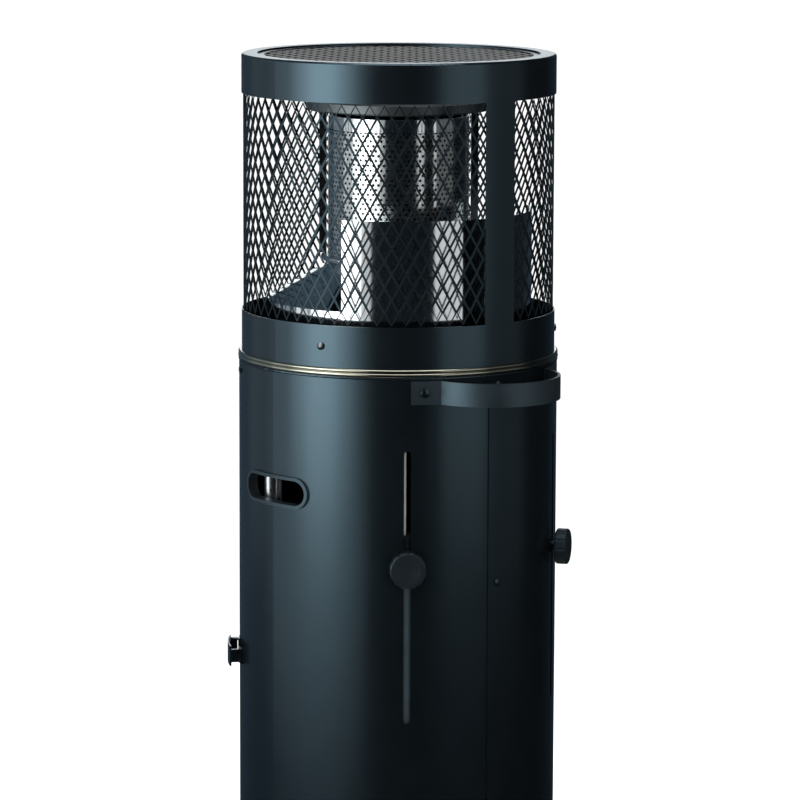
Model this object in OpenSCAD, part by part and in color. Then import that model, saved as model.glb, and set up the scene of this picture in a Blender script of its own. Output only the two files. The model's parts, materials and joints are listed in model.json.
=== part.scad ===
// Gas patio heater: a telescoping round column with a caged burner on top.
// +Z is up and z = 0 is the floor. The rear (+Y) has the strap handle and wheels,
// the front (-Y) has the bottle door and the gas control.

/* [Height] */
// Height of the top edge of the sliding housing above the floor, as shown
housing_top = 804; // [760:1:860]
// Length of the sliding housing
housing_len = 648; // [600:1:690]
// Height of the clamp knobs above the floor
clamp_z = 605; // [560:1:640]

/* [Housing] */
// Outer radius of the sliding housing
housing_r = 170; // [160:1:185]
// Sheet thickness of the shells
sheet = 1; // [0.8:0.1:1.4]
// Half angle of the bottle door, from the front
door_half = 57; // [48:1:60]
// Distance from the housing's top edge to the door opening
door_drop = 57; // [50:1:70]
// Height of the housing's hoop below the door opening
door_hoop = 38; // [30:1:50]
// Gap round the door panel
door_gap = 1.5; // [1:0.1:2.5]
// Angle of each clamp slot from the rear
slot_angle = 36.5; // [32:0.5:40]
// Width of a clamp slot
slot_w = 7.2; // [6.8:0.1:9]
// Reach of a clamp slot above the clamp knob
slot_up = 122.5; // [100:0.5:130]
// Reach of a clamp slot below the clamp knob
slot_down = 165.5; // [120:0.5:170]
// Drop from the housing's top edge to the middle of the hand holes
hand_drop = 127; // [110:1:150]
// Width of a hand hole
hand_w = 94; // [80:1:100]
// Height of a hand hole
hand_h = 26; // [24:1:34]
// Width of the plastic trim round a hand hole
trim_w = 3.5; // [3:0.5:8]

/* [Strap handle] */
// Radius of the handle's bow, inside
bow_r = 70.4; // [60:0.1:76]
// How far the bow's centre lies inside the housing's face
bow_set = 20; // [8:1:30]
// Height of the strap
strap_h = 24.4; // [20:0.2:30]
// Thickness of the strap
strap_t = 3; // [2:0.5:4]
// Drop from the housing's top edge to the middle of the strap
strap_drop = 15.2; // [15:0.2:20]

/* [Cage] */
// How far the face of the cage stands inside the housing's face
cage_inset = 3; // [2:0.5:5]
// Height of the band at the foot of the cage
band_h = 43.5; // [36:0.5:50]
// Open height of the cage between band and cap
open_h = 230; // [200:1:260]
// Height of the cap
cap_h = 41.5; // [36:0.5:50]
// Number of diamonds round the cage
diamonds = 66; // [24:2:72]
// Height of one diamond
diamond_h = 26; // [22:0.5:44]
// Width of one strand of the cage
strand_w = 2.4; // [1.6:0.1:3]

/* [Burner] */
// Radius of the perforated emitter
emitter_r = 75; // [66:1:80]
// Height of the emitter
emitter_h = 148; // [130:1:165]
// Radius of the hood above the emitter
hood_r = 98; // [88:1:110]
// Outer radius of the wind guard
guard_r = 142; // [136:1:148]
// Height of the wind guard
guard_h = 159; // [120:1:170]
// Half angle of the wind guard, from the rear
guard_half = 64.5; // [55:0.5:80]
// Outer radius of the reflector's skirt
skirt_r = 139; // [128:1:139]

/* [Base] */
// Radius of the base where it meets the floor
base_r = 230; // [220:1:250]
// Height of the base
base_h = 34; // [30:1:40]
// Height of the lower shell's top edge above the floor
lower_top = 400; // [360:1:430]
// Height of the sill in front of the gas bottle
sill_top = 150; // [120:1:170]
// Radius of a wheel
wheel_r = 45; // [40:1:50]
// Distance of the wheel's tread from the middle plane
wheel_x = 93; // [88:1:100]

/* [Hidden] */
$fn = 96;

// Clearances
seat = 0.05;
running = 0.05;
slide_gap = 0.3;
shell_gap = 1.5;

// Directions round the column, in degrees from +X
rear = 90;
front = -90;
slot_dirs = [rear - slot_angle, rear + slot_angle];
hand_dirs = [0, 180];

// Cage sheet
cage_r = housing_r - cage_inset;
cage_t = 1.2;
cap_rim = 17;
grille_drop = 3;

// Levels
housing_bottom = housing_top - housing_len;
deck_t = 1.5;
collar_h = 8.5;
band_z = housing_top + collar_h;
mesh_z = band_z + band_h;
cap_z = mesh_z + open_h;
top_z = cap_z + cap_h;
door_low = housing_bottom + door_hoop;
door_high = housing_top - door_drop;
strap_z = housing_top - strap_drop;
hand_z = housing_top - hand_drop;

// Telescoping posts
lower_r = housing_r - sheet - shell_gap;
post_r = 11;
post_wall = 2;
post_place = lower_r - sheet - 0.5 - post_r;
post_top = clamp_z + 17;
bush_h = 16;
rod_r = 5;
neck_r = 3;
rod_low = clamp_z - slot_down + 10;
boss_r = 8;
stud_r = 3;
stud_in = post_place + rod_r + 1.3;
knob_foot = housing_r + slide_gap;
knob_stem = 4.6;
knob_r = 19;
knob_h = 13;

// Fasteners: shank diameter, head diameter, head height
small_screw = [4, 8, 2.4];
cap_screw = [5, 9.4, 3];
screw_clear = 0.1;
screw_in = 3;
seam_zs = [housing_top - 11, housing_top - 220];
seam_dir = rear - 2.5;
rim_screw_dir = front + door_half + 4;
cage_screw_dirs = [21.5, 141.5, 261.5];

// Door hinge and latch
hinge_zs = [door_low + 90, door_high - 140];
hinge_h = 50;
hinge_dir = front - door_half;
hinge_place = housing_r + 4;
barrel_r = 3.5;
pin_r = 1.5;
leaf_t = 1.6;
latch_z = housing_top - 321;
latch_h = 24;
latch_dir = front + door_half - 11;
latch_place = housing_r + 7;
latch_plate_r = housing_r + 13;
lever_reach = 16;
catch_t = 2.6;

// Burner levels
cone_z = housing_top + 63;
cone_top_r = emitter_r - 5;
base_plate_z = housing_top + 104;
base_plate_t = 6;
emitter_z = base_plate_z + base_plate_t;
hood_gap = 6;
hood_z = emitter_z + emitter_h + hood_gap;
tube_r = 24;
tube_low = housing_top - deck_t - 16;
leg_dirs = [-40, 140];
leg_w = 12;
leg_t = 2;
leg_place = emitter_r + 1.5;
leg_fold = 10;
leg_flange = 8;

// Gas control
control_z = housing_top - 24;
valve_front = housing_r - 20;
valve_back = valve_front - 44;
valve_w = 30;
valve_low = control_z - 16;
valve_high = housing_top - deck_t - 2.5;
pipe_z = control_z - 8;
spindle_r = 4;
dial_r = 20;
push_travel = 4;
spindle_seat = 12;
spindle_grip = 12;
valve_nose = 8;
knob_gap = push_travel + 1.5;
dial_t = 1;
control_r = 22;
control_h = 19;
inlet_r = 8.3;
inlet_y = -(valve_back + valve_front) / 2;
inlet_h = 14;

// Wheels
axle_r = 5;
axle_y = base_r + 22;
axle_z = wheel_r + 5;
tyre_w = 26;
cheek_x = wheel_x - 22;
cheek_t = 3;
wheel_in = cheek_x + cheek_t + 0.5;
boss_w = 35;

// A tube standing at height z
module tube(r, wall, z, h) {
    translate([0, 0, z]) difference() {
        cylinder(r = r, h = h);
        translate([0, 0, -1]) cylinder(r = r - wall, h = h + 2);
    }
}

// A curved sheet with outer radius r, from angle a to angle b
module arc_sheet(r, wall, a, b, z, h) {
    rotate([0, 0, a]) translate([0, 0, z]) rotate_extrude(angle = b - a)
        translate([r - wall, 0]) square([wall, h]);
}

// Puts children on the column's surface: their +Z points outwards
module outwards(dir, r, z) {
    rotate([0, 0, dir]) translate([r, 0, z]) rotate([0, 90, 0]) children();
}

// A bar with round ends, centred, that points outwards: w round the column, h upright
module obround(w, h, length) {
    straight = max(w, h) - min(w, h);
    along = w > h ? [0, 1, 0] : [1, 0, 0];
    translate([0, 0, length / 2])
        cube([w > h ? h : straight, w > h ? straight : w, length], center = true);
    for (side = [-1, 1]) translate(along * side * straight / 2) cylinder(d = min(w, h), h = length);
}

// A pan-head screw whose head sits on z = 0 and whose shank goes down
module screw(kind, shank) {
    cap = kind[2];
    rotate_extrude() {
        translate([0, -shank]) square([kind[0] / 2, shank + 0.1]);
        intersection() {
            translate([0, cap - kind[1]]) circle(r = kind[1]);
            square([kind[1] / 2, cap]);
        }
    }
}

// The hole that a screw's shank passes through
module screw_hole(kind, shank) {
    translate([0, 0, -shank - 1]) cylinder(d = kind[0] + 2 * screw_clear, h = shank + 2);
}

module base_pan() {
    wall = 2;
    slope = 18;
    lip = 22;
    color("#17191b") difference() {
        rotate_extrude() polygon([
            [0, base_h], [base_r - slope, base_h], [base_r, plate_h + 6], [base_r, plate_h],
            [base_r - lip, plate_h], [base_r - lip, plate_h + wall], [base_r - wall, plate_h + wall],
            [base_r - wall, plate_h + 5.4], [base_r - slope - 1, base_h - wall], [0, base_h - wall]]);
        base_vents();
    }
}

plate_h = 4;
vent_r = 12.5;
vent_place = 60;

module base_vents() {
    for (i = [0 : 5]) rotate(60 * i) translate([vent_place, 0, -1]) cylinder(r = vent_r, h = base_h + 2);
}

module base_plate() {
    color("#222222") difference() {
        cylinder(r = base_r - 4, h = plate_h);
        base_vents();
    }
}

tab_dirs = [0, 90, 180, 270];
tab_in = 14;
tab_w = 22;

module lower_shell() {
    vents = 5;
    color("#1b1f22") difference() {
        union() {
            tube(lower_r, sheet, base_h, lower_top - base_h);
            for (dir = tab_dirs) rotate([0, 0, dir])
                intersection() {
                    translate([lower_r - tab_in, -tab_w / 2, base_h]) cube([tab_in, tab_w, sheet]);
                    cylinder(r = lower_r - sheet / 2, h = base_h + sheet);
                }
        }
        rotate([0, 0, front - door_half]) translate([0, 0, sill_top]) rotate_extrude(angle = 2 * door_half)
            translate([lower_r - 3, 0]) square([6, lower_top]);
        for (i = [0 : vents - 1]) outwards(rear + 14 * (i - (vents - 1) / 2), lower_r - 4, base_h + 62)
            obround(8, 52, 8);
        for (dir = tab_dirs) rotate([0, 0, dir]) translate([lower_r - tab_in / 2, 0, base_h + sheet])
            screw_hole(small_screw, screw_in);
    }
}

module base_screws() {
    color("#2a2d30") {
        for (dir = tab_dirs) rotate([0, 0, dir])
            translate([lower_r - tab_in / 2, 0, base_h + sheet]) screw(small_screw, sheet);
        for (side = [-1, 1]) translate([side * foot_screw_x, (foot_y + foot_end) / 2, base_h + cheek_t])
            screw(small_screw, cheek_t);
    }
}

module slide_posts() {
    color("#23282c") for (dir = slot_dirs) rotate([0, 0, dir]) difference() {
        translate([post_place, 0, 0]) tube(post_r, post_wall, base_h, post_top - base_h);
        translate([post_place, 0, clamp_z]) rotate([0, 90, 0]) cylinder(r = stud_r + running, h = 2 * post_r);
    }
}

module post_bushes() {
    plug = 12;
    color("#0e0f10") for (dir = slot_dirs) rotate([0, 0, dir]) translate([post_place, 0, post_top])
        difference() {
            union() {
                cylinder(r = post_r, h = bush_h);
                translate([0, 0, -plug]) cylinder(r = post_r - post_wall - seat, h = plug);
            }
            translate([0, 0, -plug - 1]) cylinder(r = rod_r + running, h = plug + bush_h + 2);
            outer = clamp_z - post_top;
            translate([0, 0, outer]) rotate([0, 90, 0]) cylinder(r = stud_r + 1, h = 2 * post_r);
        }
}

module clamp_bosses() {
    boss_in = post_place + post_r - 4;
    boss_end = housing_r - sheet - 2 * slide_gap;
    color("#1b1f22") for (dir = slot_dirs) difference() {
        outwards(dir, boss_in, clamp_z) cylinder(r = boss_r, h = boss_end - boss_in);
        rotate([0, 0, dir]) translate([post_place, 0, clamp_z - 2 * boss_r])
            cylinder(r = post_r + seat, h = 4 * boss_r);
        outwards(dir, boss_in - 1, clamp_z) cylinder(r = stud_r + running, h = boss_end - boss_in + 2);
    }
}

foot_y = housing_r + 4;
foot_end = sqrt(pow(base_r - 18, 2) - pow(cheek_x + cheek_t, 2)) - 1;
foot_screw_x = cheek_x - 12;

module wheel_brackets() {
    color("#1b1f22") for (side = [0, 1]) mirror([side, 0, 0]) difference() {
        union() {
            translate([cheek_x - 22, foot_y, base_h]) cube([22 + cheek_t, foot_end - foot_y, cheek_t]);
            translate([cheek_x, 0, 0]) rotate([90, 0, 90]) linear_extrude(cheek_t) union() {
                polygon([[foot_y, base_h], [foot_end, base_h], [axle_y + 4, axle_z - 11],
                    [axle_y, axle_z + 12], [foot_y, base_h + 26]]);
                translate([axle_y, axle_z]) circle(r = 12);
            }
        }
        translate([cheek_x - 1, axle_y, axle_z]) rotate([0, 90, 0])
            cylinder(r = axle_r + running, h = cheek_t + 2);
        translate([foot_screw_x, (foot_y + foot_end) / 2, base_h + cheek_t])
            screw_hole(small_screw, screw_in);
    }
}

axle_end = cheek_x + cheek_t + boss_w + 4;

module axle() {
    color("silver") translate([-axle_end, axle_y, axle_z]) rotate([0, 90, 0])
        cylinder(r = axle_r, h = 2 * axle_end);
}

module axle_caps() {
    cap = 4;
    color("#222222") for (side = [0, 1]) mirror([side, 0, 0])
        translate([axle_end - 3, axle_y, axle_z]) rotate([0, 90, 0]) difference() {
            cylinder(r = axle_r + 4, h = cap);
            translate([0, 0, -1]) cylinder(r = axle_r + seat, h = cap);
        }
}

module wheel(side) {
    web = 5;
    hub_r = wheel_r - 9;
    lights = 6;
    mirror([side, 0, 0]) translate([wheel_in, axle_y, axle_z]) rotate([0, 90, 0]) difference() {
        union() {
            cylinder(r = axle_r + 6, h = boss_w);
            translate([0, 0, boss_w / 2 - web / 2]) cylinder(r = hub_r, h = web);
            translate([0, 0, boss_w / 2 - tyre_w / 2]) difference() {
                cylinder(r = hub_r, h = tyre_w);
                translate([0, 0, -1]) cylinder(r = hub_r - 4, h = tyre_w + 2);
            }
        }
        translate([0, 0, -1]) cylinder(r = axle_r + running, h = boss_w + 2);
        for (i = [0 : lights - 1]) rotate(i * 360 / lights) translate([(axle_r + hub_r) / 2 + 1, 0, 0])
            cylinder(r = 5, h = boss_w);
    }
}

module tyre(side) {
    hub_r = wheel_r - 9;
    crown = 4;
    mirror([side, 0, 0]) translate([wheel_in + boss_w / 2, axle_y, axle_z]) rotate([0, 90, 0])
        rotate_extrude() union() {
            translate([hub_r, -tyre_w / 2]) square([wheel_r - hub_r - crown, tyre_w]);
            translate([hub_r, crown - tyre_w / 2]) square([wheel_r - hub_r, tyre_w - 2 * crown]);
            for (end = [-1, 1]) translate([wheel_r - crown, end * (tyre_w / 2 - crown)]) circle(r = crown);
        }
}

module wheel_left() { color("#1c1c1c") wheel(1); }
module wheel_right() { color("#1c1c1c") wheel(0); }
module tyre_left() { color("#2b2b2b") tyre(1); }
module tyre_right() { color("#2b2b2b") tyre(0); }

hand_cut_w = hand_w + 3;
hand_cut_h = hand_h + 3;

module upper_shell() {
    bead = 1.2;
    bead_out = 0.6;
    color("#1a1e21") difference() {
        union() {
            tube(housing_r, sheet, housing_bottom, housing_len);
            translate([0, 0, housing_top - bead]) rotate_extrude()
                translate([housing_r - bead + bead_out, 0]) circle(r = bead);
        }
        translate([0, 0, housing_top - 3 * bead]) cylinder(r = housing_r - sheet, h = 6 * bead);
        rotate([0, 0, front - door_half]) translate([0, 0, door_low]) rotate_extrude(angle = 2 * door_half)
            translate([housing_r - 4, 0]) square([8, door_high - door_low]);
        for (dir = slot_dirs) outwards(dir, housing_r - 8, clamp_z + (slot_up - slot_down) / 2)
            obround(slot_w, slot_up + slot_down, 16);
        for (dir = hand_dirs) outwards(dir, housing_r - 30, hand_z) obround(hand_cut_w, hand_cut_h, 60);
        for (z = seam_zs) outwards(seam_dir, housing_r, z) screw_hole(small_screw, screw_in);
        outwards(rim_screw_dir, housing_r, seam_zs[0]) screw_hole(small_screw, screw_in);
        for (side = [-1, 1]) outwards(rear + side * handle_screw_half, housing_r, strap_z)
            screw_hole(cap_screw, screw_in);
        outwards(front, housing_r - 8, control_z) cylinder(r = spindle_r + 3, h = 16);
    }
}

lap_from = seam_dir - 3.8;
lap_to = seam_dir + 6.5;

module lap_strip() {
    color("#1a1e21") difference() {
        arc_sheet(housing_r + seat + sheet, sheet, lap_from, lap_to, housing_bottom, housing_len - 5);
        for (z = seam_zs) outwards(seam_dir, housing_r + sheet, z) screw_hole(small_screw, screw_in);
    }
}

module shell_screws() {
    color("#101214") {
        for (z = seam_zs) outwards(seam_dir, housing_r + seat + sheet, z) screw(small_screw, screw_in);
        outwards(rim_screw_dir, housing_r, seam_zs[0]) screw(small_screw, screw_in);
    }
}

// Where the middle of the strap crosses the shell, from the rear
bow_reach = housing_r - bow_set;
bow_mid_r = bow_r + strap_t / 2;
tab_from = acos((pow(housing_r, 2) + pow(bow_reach, 2) - pow(bow_mid_r, 2)) / (2 * housing_r * bow_reach));
tab_len = 31;
tab_screw = 17;
tab_to = tab_from + arc_deg(tab_len);
handle_screw_half = tab_from + arc_deg(tab_screw);

// Strap bent into a bow, with a tab at each end that lies on the shell
module handle() {
    tab_r = housing_r + seat + strap_t;
    far = 2 * housing_r;
    color("#14181a") difference() {
        translate([0, 0, strap_z - strap_h / 2]) linear_extrude(strap_h) difference() {
            union() {
                translate([0, bow_reach]) circle(r = bow_r + strap_t);
                for (side = [-1, 1]) intersection() {
                    circle(r = tab_r);
                    polygon([[0, 0], far * heading(rear + side * tab_from),
                        far * heading(rear + side * tab_to)]);
                }
            }
            translate([0, bow_reach]) circle(r = bow_r);
            circle(r = housing_r + seat);
        }
        for (side = [-1, 1]) outwards(rear + side * handle_screw_half, housing_r + strap_t, strap_z)
            screw_hole(cap_screw, screw_in + strap_t);
    }
}

// The direction at an angle round the column
function heading(dir) = [cos(dir), sin(dir)];

// The angle that a length takes up on the housing's face
function arc_deg(length) = length / housing_r * 180 / PI;

module handle_screws() {
    color("#0c0e0f") for (side = [-1, 1])
        outwards(rear + side * handle_screw_half, housing_r + seat + strap_t, strap_z)
            screw(cap_screw, screw_in + strap_t);
}

module hand_hole_trims() {
    lip = 3;
    depth = 9;
    color("#20262a") for (dir = hand_dirs) difference() {
        union() {
            intersection() {
                outwards(dir, housing_r - 60, hand_z) obround(hand_w + 2 * trim_w, hand_h + 2 * trim_w, 100);
                tube(housing_r + seat + lip, lip, hand_z - hand_h - trim_w, 2 * (hand_h + trim_w));
            }
            intersection() {
                outwards(dir, housing_r - 60, hand_z) obround(hand_cut_w - 0.4, hand_cut_h - 0.4, 100);
                tube(housing_r + 1, depth + 1, hand_z - hand_h - trim_w, 2 * (hand_h + trim_w));
            }
        }
        outwards(dir, housing_r - 70, hand_z) obround(hand_w, hand_h, 120);
    }
}

module burner_deck() {
    deck_r = housing_r - sheet - seat;
    flange = 17;
    color("#8d8f8c") difference() {
        union() {
            translate([0, 0, housing_top - deck_t]) cylinder(r = deck_r, h = deck_t);
            tube(deck_r, 1, housing_top - flange, flange - deck_t / 2);
        }
        outwards(seam_dir, housing_r, seam_zs[0]) screw_hole(small_screw, screw_in);
        outwards(rim_screw_dir, housing_r, seam_zs[0]) screw_hole(small_screw, screw_in);
        for (side = [-1, 1]) outwards(rear + side * handle_screw_half, housing_r, strap_z)
            screw_hole(cap_screw, screw_in);
        translate([0, 0, housing_top - deck_t - 1]) cylinder(r = tube_r + seat, h = deck_t + 2);
        for (dir = slot_dirs) rotate([0, 0, dir]) translate([post_place, 0, housing_top - deck_t - 1])
            cylinder(r = neck_r + running, h = deck_t + 2);
        for (i = [0 : 7]) rotate(i * 45 + 22.5) translate([95, 0, housing_top - deck_t - 1])
            cylinder(r = 14, h = deck_t + 2);
    }
}

module collar_ring() {
    bead_low = 2.4;
    bead_high = 2.1;
    color("#b3b09a") translate([0, 0, housing_top]) rotate_extrude() union() {
        translate([housing_r - 9, 0]) square([8, 1.5]);
        translate([housing_r - 3.4, 0]) square([2, collar_h]);
        intersection() {
            union() {
                translate([housing_r - 1.4, bead_low]) circle(r = bead_low);
                translate([housing_r - 1.4, collar_h - bead_high]) circle(r = bead_high);
            }
            translate([housing_r - 2, 0]) square([8, collar_h]);
        }
    }
}

module guide_rods() {
    nut = 5;
    color("#c9c9c4") for (dir = slot_dirs) rotate([0, 0, dir]) translate([post_place, 0, 0]) {
        translate([0, 0, rod_low]) cylinder(r = rod_r, h = housing_top - deck_t - rod_low);
        translate([0, 0, housing_top - deck_t]) cylinder(r = neck_r, h = deck_t);
        translate([0, 0, housing_top]) cylinder(r = rod_r, h = nut, $fn = 6);
    }
}

leaf_w = 8;
leaf_off = 1.8;
knuckle_gap = 0.4;
knuckle = (hinge_h - 2 * knuckle_gap) / 3;

// Plan of a hinge half: its leaf on the column and, where it has one, its knuckle; side is -1 or 1
module hinge_plan(side, with_knuckle) {
    far = 2 * housing_r;
    difference() {
        union() {
            intersection() {
                circle(r = housing_r + seat + leaf_t);
                polygon([[0, 0], far * heading(hinge_dir + side * (with_knuckle ? 0 : leaf_off)),
                    far * heading(hinge_dir + side * (leaf_off + leaf_w))]);
            }
            if (with_knuckle) translate(hinge_place * heading(hinge_dir)) circle(r = barrel_r);
        }
        circle(r = housing_r + seat);
        translate(hinge_place * heading(hinge_dir)) circle(r = pin_r + running);
    }
}

// A hinge half from height low to height high above the hinge's foot
module hinge_slice(z, side, with_knuckle, low, high) {
    translate([0, 0, z + low]) linear_extrude(high - low) hinge_plan(side, with_knuckle);
}

module shell_hinges() {
    upper = 2 * (knuckle + knuckle_gap);
    color("#15181a") for (z = hinge_zs) {
        hinge_slice(z, -1, true, 0, knuckle);
        hinge_slice(z, -1, false, knuckle, upper);
        hinge_slice(z, -1, true, upper, hinge_h);
    }
}

module door_hinges() {
    low = knuckle + knuckle_gap;
    high = 2 * knuckle + knuckle_gap;
    color("#15181a") for (z = hinge_zs) {
        hinge_slice(z, 1, false, 0, low);
        hinge_slice(z, 1, true, low, high);
        hinge_slice(z, 1, false, high, hinge_h);
    }
}

module hinge_pins() {
    color("silver") for (z = hinge_zs) rotate([0, 0, hinge_dir]) translate([hinge_place, 0, z - 1])
        cylinder(r = pin_r, h = hinge_h + 2);
}

module catch_plate() {
    tip = latch_dir + lever_reach;
    color("#101214") arc_sheet(housing_r + seat + catch_t, catch_t, tip - 3, tip + 2, latch_z - 8, 16);
}

module dial_plate() {
    color("#2b2f33") difference() {
        intersection() {
            outwards(front, housing_r - dial_r, control_z) cylinder(r = dial_r, h = 2 * dial_r);
            tube(housing_r + seat + dial_t, dial_t, control_z - dial_r, 2 * dial_r);
        }
        outwards(front, housing_r - dial_r, control_z) cylinder(r = spindle_r + 3, h = 2 * dial_r);
    }
}

module cage_band() {
    foot = 4;
    color("#171b1e") difference() {
        union() {
            tube(cage_r, cage_t, band_z, band_h);
            tube(cage_r - cage_t / 2, foot, band_z, cage_t);
        }
        for (dir = cage_screw_dirs) outwards(dir, cage_r, band_z + band_h / 2)
            screw_hole(small_screw, screw_in);
    }
}

// Expanded-metal cage: flat panels of diamonds, two across, folded round the column
module cage_mesh() {
    net_t = 1.2;
    tuck = 6;
    border = 4;
    panels = diamonds / 2;
    fold = 180 / panels;
    net_out = (cage_r - cage_t - seat) * cos(fold);
    panel_w = 2 * (net_out - net_t / 2) * tan(fold);
    height = open_h + 2 * tuck;
    across = panel_w / 2;
    rows = floor((height - 2 * border) / diamond_h);
    up = (height - 2 * border) / rows;
    shrink = 1 - strand_w * norm([across, up]) / (across * up);
    color("#0f1112") translate([0, 0, mesh_z - tuck]) for (i = [0 : panels - 1])
        rotate([0, 0, (2 * i + 1) * fold]) translate([net_out - net_t, 0, 0]) rotate([90, 0, 90])
            linear_extrude(net_t) difference() {
                translate([-panel_w / 2, 0]) square([panel_w, height]);
                for (row = [0 : rows - 1], x = [-0.5, 0.5])
                    diamond([x * across, border + (row + 0.5) * up], across * shrink, up * shrink);
                for (row = [1 : rows - 1], x = [-1, 0, 1])
                    diamond([x * across, border + row * up], across * shrink, up * shrink);
            }
}

// One hole of the cage, w across and h tall
module diamond(place, w, h) {
    translate(place) polygon([[-w / 2, 0], [0, -h / 2], [w / 2, 0], [0, h / 2]]);
}

strap_dir = rear - 0.6;
strap_half = 6.7;

module cage_strap() {
    color("#171b1e") arc_sheet(cage_r, cage_t, strap_dir - strap_half, strap_dir + strap_half,
        mesh_z, open_h);
}

module cage_cap() {
    corner = 3;
    ledge = 4;
    lip = grille_drop + 2 * cage_t;
    color("#171b1e") translate([0, 0, cap_z]) rotate_extrude() union() {
        translate([cage_r - cage_t, 0]) square([cage_t, cap_h - corner]);
        translate([cage_r - corner, cap_h - corner]) intersection() {
            difference() {
                circle(r = corner);
                circle(r = corner - cage_t);
            }
            square(corner);
        }
        translate([cage_r - cap_rim, cap_h - cage_t]) square([cap_rim - corner, cage_t]);
        translate([cage_r - cap_rim, cap_h - lip]) square([cage_t, lip]);
        translate([cage_r - cap_rim - ledge, cap_h - lip]) square([ledge + cage_t / 2, cage_t]);
    }
}

module top_grille() {
    grille_r = cage_r - cap_rim - slide_gap;
    hole = 11;
    pitch = 20;
    rows = floor((grille_r - hole) / (pitch * sqrt(3) / 2));
    color("#2c2f31") translate([0, 0, top_z - grille_drop - cage_t]) linear_extrude(cage_t) difference() {
        circle(r = grille_r);
        for (row = [-rows : rows], i = [-rows - 2 : rows + 2]) {
            x = (i + (row % 2 == 0 ? 0 : 0.5)) * pitch;
            y = row * pitch * sqrt(3) / 2;
            if (norm([x, y]) < grille_r - hole) translate([x, y]) circle(d = hole);
        }
    }
}

module cage_screws() {
    color("#8a8d90") for (dir = cage_screw_dirs)
        outwards(dir, cage_r, band_z + band_h / 2) screw(small_screw, screw_in);
}

// Bright cone under the emitter, with the skirt that stands on the deck
module reflector_cone() {
    wall = 1;
    color("#c8ccd0") translate([0, 0, housing_top]) rotate_extrude() union() {
        translate([skirt_r - wall, 0]) square([wall, cone_z - housing_top]);
        polygon([[skirt_r, cone_z - housing_top - wall], [skirt_r, cone_z - housing_top],
            [cone_top_r, base_plate_z - housing_top], [cone_top_r - wall, base_plate_z - housing_top],
            [cone_top_r - wall, base_plate_z - housing_top - wall],
            [skirt_r - wall, cone_z - housing_top - wall]]);
    }
}

module wind_guard() {
    color("#c8ccd0") arc_sheet(guard_r, 1, rear - guard_half, rear + guard_half, housing_top, guard_h);
}

module emitter() {
    wall = 1;
    collar = 12;
    columns = 20;
    rows = 9;
    hole = 6;
    margin = 5;
    pitch = (emitter_h - collar - margin) / rows;
    color("#b9bdbf") difference() {
        tube(emitter_r, wall, emitter_z, emitter_h);
        for (row = [0 : rows - 1], i = [0 : columns - 1])
            outwards((i + (row % 2) / 2) * 360 / columns, emitter_r - 2 * wall,
                emitter_z + margin + (row + 0.5) * pitch) cylinder(d = hole, h = 3 * wall);
    }
}

module emitter_base() {
    rim = 8;
    color("#b9bdbf") difference() {
        translate([0, 0, base_plate_z]) rotate_extrude() difference() {
            union() {
                square([emitter_r + rim - base_plate_t / 2, base_plate_t]);
                translate([emitter_r + rim - base_plate_t / 2, base_plate_t / 2]) circle(d = base_plate_t);
            }
            square([tube_r + seat, base_plate_t]);
        }
        for (dir = leg_dirs) rotate([0, 0, dir]) translate([leg_place, -leg_w / 2 - seat, base_plate_z - 1])
            cube([leg_t + 2 * seat, leg_w + 2 * seat, base_plate_t + 2]);
    }
}

// Two angle legs that carry the hood above the emitter
module hood_bracket() {
    color("#3a3d40") for (dir = leg_dirs) rotate([0, 0, dir]) translate([leg_place + seat, -leg_w / 2, 0]) {
        translate([0, 0, base_plate_z]) cube([leg_t, leg_w, hood_z - base_plate_z]);
        translate([0, 0, emitter_z + seat]) cube([leg_flange, leg_t, hood_z - emitter_z - seat]);
        translate([-leg_fold, 0, hood_z - leg_t]) cube([leg_fold + leg_t, leg_w, leg_t]);
    }
}

module hood() {
    hood_h = 10;
    wall = 1.5;
    corner = 2;
    color("#8f9498") translate([0, 0, hood_z]) rotate_extrude() union() {
        square([hood_r - corner, wall]);
        intersection() {
            translate([hood_r - corner, corner]) difference() {
                circle(r = corner);
                circle(r = corner - wall);
            }
            translate([hood_r - corner, 0]) square(corner);
        }
        translate([hood_r - wall, corner]) square([wall, hood_h - corner]);
    }
}

module burner_tube() {
    wall = 1.5;
    top = emitter_z + 95;
    ports = 10;
    port_rows = 4;
    color("#9a9d9f") difference() {
        translate([0, 0, tube_low]) cylinder(r = tube_r, h = top - tube_low);
        translate([0, 0, tube_low + 2]) cylinder(r = tube_r - wall, h = top - tube_low - 4);
        translate([0, 0, tube_low - 1]) cylinder(r = 7 + seat, h = 4);
        for (i = [0 : 3]) rotate(45 + 90 * i) translate([tube_r - 6, -7, tube_low + 4]) cube([12, 14, 9]);
        for (row = [0 : port_rows - 1], i = [0 : ports - 1])
            outwards(i * 360 / ports, tube_r - 2 * wall, top - 12 - row * 16) cylinder(r = 3, h = 4 * wall);
    }
}

module injector() {
    nozzle = 9;
    body = 11;
    low = pipe_z - 9;
    color("#b5954a") difference() {
        union() {
            translate([0, 0, low]) cylinder(r = body, h = tube_low - low, $fn = 6);
            translate([0, 0, tube_low - 0.1]) cylinder(r = 7, h = nozzle);
        }
        translate([0, 0, pipe_z]) cylinder(r = 1, h = 60);
        translate([0, 0, pipe_z]) rotate([90, 0, 0]) cylinder(r = 4 + seat, h = 40);
    }
}

module gas_pipe() {
    color("#b87333") translate([0, -4, pipe_z]) rotate([90, 0, 0]) difference() {
        cylinder(r = 4, h = valve_back - 4);
        translate([0, 0, -1]) cylinder(r = 3, h = valve_back);
    }
}

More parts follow.
